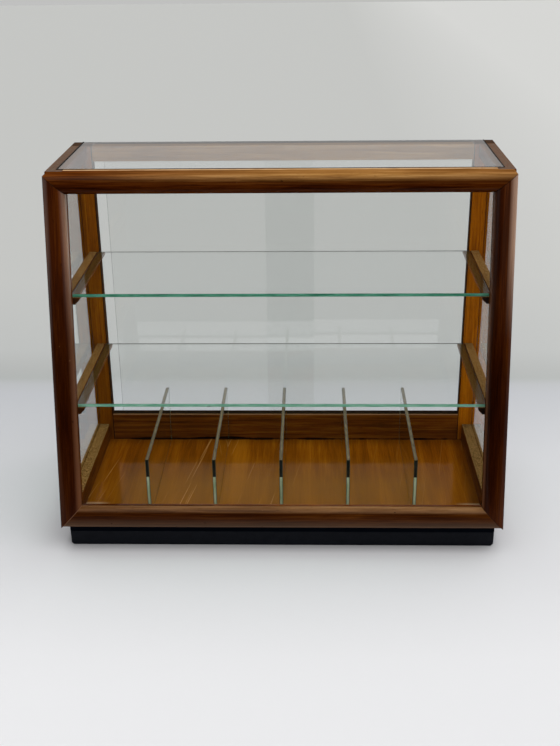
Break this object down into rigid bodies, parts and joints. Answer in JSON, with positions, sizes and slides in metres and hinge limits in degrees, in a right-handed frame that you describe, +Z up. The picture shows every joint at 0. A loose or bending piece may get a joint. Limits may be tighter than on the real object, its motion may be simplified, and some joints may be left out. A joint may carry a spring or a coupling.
{
  "type": "counter display case",
  "caption": "Slant-front wooden counter display case with glazed front, sides and top, glass shelves on cleats, glass floor dividers and sliding glass doors at the back.",
  "frame": {"origin": "on the surface that the plinth stands on, under the middle of the case", "axes": "+X to the case's right seen from its slanting front, +Y towards the doors at the back, +Z up"},
  "size_m": [0.56, 0.2787, 0.4633],
  "materials": {
    "varnished_wood": "dark red-brown varnish, worn along the edges",
    "floor_wood": "glossy orange-brown varnish, grain from front to back",
    "plinth_black": "satin black paint",
    "block_wood": "bare softwood",
    "pane_glass": "clear float glass",
    "shelf_glass": "clear float glass with green ground edges",
    "divider_glass": "clear float glass with green ground edges",
    "screw_steel": "plain steel"
  },
  "bodies": {
    "case": {"divider_1": "divider_glass", "divider_2": "divider_glass", "divider_3": "divider_glass", "divider_4": "divider_glass", "divider_5": "divider_glass", "floor_panel": "floor_wood", "front_bottom_bead": "varnished_wood", "front_bottom_rail": "varnished_wood", "front_glass": "pane_glass", "front_left_bead": "varnished_wood", "front_left_stile": "varnished_wood", "front_right_bead": "varnished_wood", "front_right_stile": "varnished_wood", "front_top_bead": "varnished_wood", "front_top_rail": "varnished_wood", "left_bottom_rail": "varnished_wood", "left_rear_post": "varnished_wood", "left_side_glass": "pane_glass", "left_top_rail": "varnished_wood", "lower_left_cleat": "varnished_wood", "lower_right_cleat": "varnished_wood", "lower_shelf": "shelf_glass", "plinth_back": "plinth_black", "plinth_corner_blocks": "block_wood", "plinth_front": "plinth_black", "plinth_left": "plinth_black", "plinth_right": "plinth_black", "plinth_screws": "screw_steel", "rear_bottom_rail": "varnished_wood", "rear_top_rail": "varnished_wood", "right_bottom_rail": "varnished_wood", "right_rear_post": "varnished_wood", "right_side_glass": "pane_glass", "right_top_rail": "varnished_wood", "top_glass": "pane_glass", "upper_left_cleat": "varnished_wood", "upper_right_cleat": "varnished_wood", "upper_shelf": "shelf_glass"},
    "left_door": {"left_door_glass": "pane_glass"},
    "right_door": {"right_door_glass": "pane_glass"}
  },
  "joints": [
    {"name": "left_door_slide", "type": "slide", "parent": "case", "child": "left_door", "axis": [1, 0, 0], "range_m": [-0.018, 0.2153]},
    {"name": "right_door_slide", "type": "slide", "parent": "case", "child": "right_door", "axis": [1, 0, 0], "range_m": [-0.2333, 0]}
  ]
}
